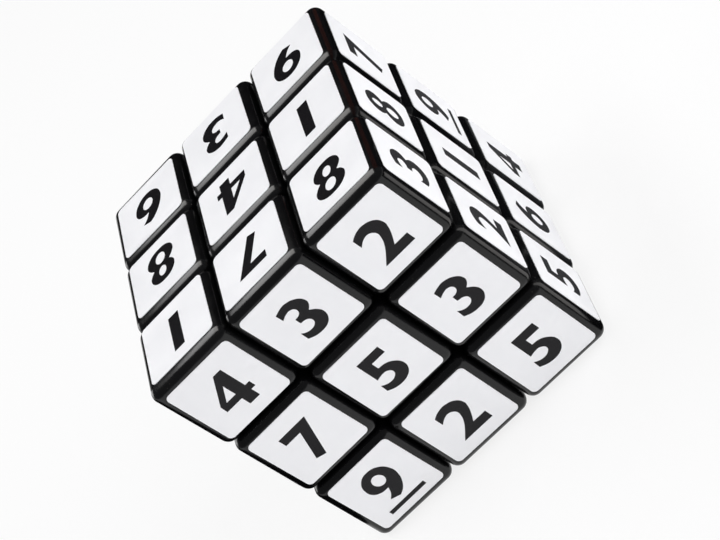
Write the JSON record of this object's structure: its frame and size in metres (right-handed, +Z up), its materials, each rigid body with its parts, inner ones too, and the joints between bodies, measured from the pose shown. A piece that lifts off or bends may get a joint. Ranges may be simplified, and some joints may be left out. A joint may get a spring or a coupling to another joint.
{
  "type": "sudoku cube",
  "caption": "Cube-shaped twist puzzle with a numbered white sticker on every outer face of its black pieces; each face layer turns endlessly on a sprung screw in the core.",
  "frame": {"origin": "middle of the cube, where the turning axes of all the faces cross", "axes": "+Z up out of the top face, -Y out of the front face, +X out of the right face"},
  "size_m": [0.057, 0.057, 0.057],
  "materials": {
    "black_abs": "black ABS, moulded and polished",
    "core_nylon": "dark nylon, moulded",
    "spring_steel": "drawn spring wire",
    "zinc_steel": "zinc-plated steel",
    "sticker_vinyl": "white vinyl film, satin gloss",
    "digit_ink": "black screen ink"
  },
  "bodies": {
    "core": {"core": "core_nylon", "screw_top": "zinc_steel", "washer_top": "zinc_steel", "spring_top": "spring_steel", "screw_bottom": "zinc_steel", "washer_bottom": "zinc_steel", "spring_bottom": "spring_steel", "screw_front": "zinc_steel", "washer_front": "zinc_steel", "spring_front": "spring_steel", "screw_back": "zinc_steel", "washer_back": "zinc_steel", "spring_back": "spring_steel", "screw_left": "zinc_steel", "washer_left": "zinc_steel", "spring_left": "spring_steel", "screw_right": "zinc_steel", "washer_right": "zinc_steel", "spring_right": "spring_steel"},
    "top_centre": {"centre_top": "black_abs", "cap_top": "black_abs"},
    "bottom_centre": {"centre_bottom": "black_abs", "cap_bottom": "black_abs"},
    "front_centre": {"centre_front": "black_abs", "cap_front": "black_abs"},
    "back_centre": {"centre_back": "black_abs", "cap_back": "black_abs"},
    "left_centre": {"centre_left": "black_abs", "cap_left": "black_abs"},
    "right_centre": {"centre_right": "black_abs", "cap_right": "black_abs"},
    "top_front_edge": {"edge_top_front": "black_abs"},
    "top_back_edge": {"edge_top_back": "black_abs"},
    "top_left_edge": {"edge_top_left": "black_abs"},
    "top_right_edge": {"edge_top_right": "black_abs"},
    "bottom_front_edge": {"edge_bottom_front": "black_abs"},
    "bottom_back_edge": {"edge_bottom_back": "black_abs"},
    "bottom_left_edge": {"edge_bottom_left": "black_abs"},
    "bottom_right_edge": {"edge_bottom_right": "black_abs"},
    "front_left_edge": {"edge_front_left": "black_abs"},
    "front_right_edge": {"edge_front_right": "black_abs"},
    "back_left_edge": {"edge_back_left": "black_abs"},
    "back_right_edge": {"edge_back_right": "black_abs"},
    "top_front_left_corner": {"corner_top_front_left": "black_abs"},
    "top_front_right_corner": {"corner_top_front_right": "black_abs"},
    "top_back_left_corner": {"corner_top_back_left": "black_abs"},
    "top_back_right_corner": {"corner_top_back_right": "black_abs"},
    "bottom_front_left_corner": {"corner_bottom_front_left": "black_abs"},
    "bottom_front_right_corner": {"corner_bottom_front_right": "black_abs"},
    "bottom_back_left_corner": {"corner_bottom_back_left": "black_abs"},
    "bottom_back_right_corner": {"corner_bottom_back_right": "black_abs"}
  },
  "joints": [
    {"name": "top_turn", "type": "hinge", "parent": "core", "child": "top_centre", "pos_m": [0, 0, 0], "axis": [0, 0, 1], "continuous": true},
    {"name": "bottom_turn", "type": "hinge", "parent": "core", "child": "bottom_centre", "pos_m": [0, 0, 0], "axis": [0, 0, 1], "continuous": true},
    {"name": "front_turn", "type": "hinge", "parent": "core", "child": "front_centre", "pos_m": [0, 0, 0], "axis": [0, 1, 0], "continuous": true},
    {"name": "back_turn", "type": "hinge", "parent": "core", "child": "back_centre", "pos_m": [0, 0, 0], "axis": [0, 1, 0], "continuous": true},
    {"name": "left_turn", "type": "hinge", "parent": "core", "child": "left_centre", "pos_m": [0, 0, 0], "axis": [1, 0, 0], "continuous": true},
    {"name": "right_turn", "type": "hinge", "parent": "core", "child": "right_centre", "pos_m": [0, 0, 0], "axis": [1, 0, 0], "continuous": true},
    {"name": "top_front_edge_carry", "type": "hinge", "parent": "front_centre", "child": "top_front_edge", "pos_m": [0, 0, 0], "axis": [0, 0, 1], "continuous": true},
    {"name": "top_back_edge_carry", "type": "hinge", "parent": "back_centre", "child": "top_back_edge", "pos_m": [0, 0, 0], "axis": [0, 0, 1], "continuous": true},
    {"name": "top_left_edge_carry", "type": "hinge", "parent": "top_centre", "child": "top_left_edge", "pos_m": [0, 0, 0], "axis": [1, 0, 0], "continuous": true},
    {"name": "top_right_edge_carry", "type": "hinge", "parent": "top_centre", "child": "top_right_edge", "pos_m": [0, 0, 0], "axis": [1, 0, 0], "continuous": true},
    {"name": "bottom_front_edge_carry", "type": "hinge", "parent": "front_centre", "child": "bottom_front_edge", "pos_m": [0, 0, 0], "axis": [0, 0, 1], "continuous": true},
    {"name": "bottom_back_edge_carry", "type": "hinge", "parent": "back_centre", "child": "bottom_back_edge", "pos_m": [0, 0, 0], "axis": [0, 0, 1], "continuous": true},
    {"name": "bottom_left_edge_carry", "type": "hinge", "parent": "bottom_centre", "child": "bottom_left_edge", "pos_m": [0, 0, 0], "axis": [1, 0, 0], "continuous": true},
    {"name": "bottom_right_edge_carry", "type": "hinge", "parent": "bottom_centre", "child": "bottom_right_edge", "pos_m": [0, 0, 0], "axis": [1, 0, 0], "continuous": true},
    {"name": "front_left_edge_carry", "type": "hinge", "parent": "left_centre", "child": "front_left_edge", "pos_m": [0, 0, 0], "axis": [0, 1, 0], "continuous": true},
    {"name": "front_right_edge_carry", "type": "hinge", "parent": "right_centre", "child": "front_right_edge", "pos_m": [0, 0, 0], "axis": [0, 1, 0], "continuous": true},
    {"name": "back_left_edge_carry", "type": "hinge", "parent": "left_centre", "child": "back_left_edge", "pos_m": [0, 0, 0], "axis": [0, 1, 0], "continuous": true},
    {"name": "back_right_edge_carry", "type": "hinge", "parent": "right_centre", "child": "back_right_edge", "pos_m": [0, 0, 0], "axis": [0, 1, 0], "continuous": true},
    {"name": "top_front_left_corner_carry", "type": "hinge", "parent": "front_left_edge", "child": "top_front_left_corner", "pos_m": [0, 0, 0], "axis": [0, 0, 1], "continuous": true},
    {"name": "top_front_right_corner_carry", "type": "hinge", "parent": "front_right_edge", "child": "top_front_right_corner", "pos_m": [0, 0, 0], "axis": [0, 0, 1], "continuous": true},
    {"name": "top_back_left_corner_carry", "type": "hinge", "parent": "back_left_edge", "child": "top_back_left_corner", "pos_m": [0, 0, 0], "axis": [0, 0, 1], "continuous": true},
    {"name": "top_back_right_corner_carry", "type": "hinge", "parent": "back_right_edge", "child": "top_back_right_corner", "pos_m": [0, 0, 0], "axis": [0, 0, 1], "continuous": true},
    {"name": "bottom_front_left_corner_carry", "type": "hinge", "parent": "front_left_edge", "child": "bottom_front_left_corner", "pos_m": [0, 0, 0], "axis": [0, 0, 1], "continuous": true},
    {"name": "bottom_front_right_corner_carry", "type": "hinge", "parent": "front_right_edge", "child": "bottom_front_right_corner", "pos_m": [0, 0, 0], "axis": [0, 0, 1], "continuous": true},
    {"name": "bottom_back_left_corner_carry", "type": "hinge", "parent": "back_left_edge", "child": "bottom_back_left_corner", "pos_m": [0, 0, 0], "axis": [0, 0, 1], "continuous": true},
    {"name": "bottom_back_right_corner_carry", "type": "hinge", "parent": "back_right_edge", "child": "bottom_back_right_corner", "pos_m": [0, 0, 0], "axis": [0, 0, 1], "continuous": true}
  ],
  "couplings": [
    {"joint": "top_front_edge_carry", "follows": "top_turn", "ratio": 1},
    {"joint": "top_back_edge_carry", "follows": "top_turn", "ratio": 1},
    {"joint": "top_left_edge_carry", "follows": "left_turn", "ratio": 1},
    {"joint": "top_right_edge_carry", "follows": "right_turn", "ratio": 1},
    {"joint": "bottom_front_edge_carry", "follows": "bottom_turn", "ratio": 1},
    {"joint": "bottom_back_edge_carry", "follows": "bottom_turn", "ratio": 1},
    {"joint": "bottom_left_edge_carry", "follows": "left_turn", "ratio": 1},
    {"joint": "bottom_right_edge_carry", "follows": "right_turn", "ratio": 1},
    {"joint": "front_left_edge_carry", "follows": "front_turn", "ratio": 1},
    {"joint": "front_right_edge_carry", "follows": "front_turn", "ratio": 1},
    {"joint": "back_left_edge_carry", "follows": "back_turn", "ratio": 1},
    {"joint": "back_right_edge_carry", "follows": "back_turn", "ratio": 1},
    {"joint": "top_front_left_corner_carry", "follows": "top_turn", "ratio": 1},
    {"joint": "top_front_right_corner_carry", "follows": "top_turn", "ratio": 1},
    {"joint": "top_back_left_corner_carry", "follows": "top_turn", "ratio": 1},
    {"joint": "top_back_right_corner_carry", "follows": "top_turn", "ratio": 1},
    {"joint": "bottom_front_left_corner_carry", "follows": "bottom_turn", "ratio": 1},
    {"joint": "bottom_front_right_corner_carry", "follows": "bottom_turn", "ratio": 1},
    {"joint": "bottom_back_left_corner_carry", "follows": "bottom_turn", "ratio": 1},
    {"joint": "bottom_back_right_corner_carry", "follows": "bottom_turn", "ratio": 1}
  ]
}
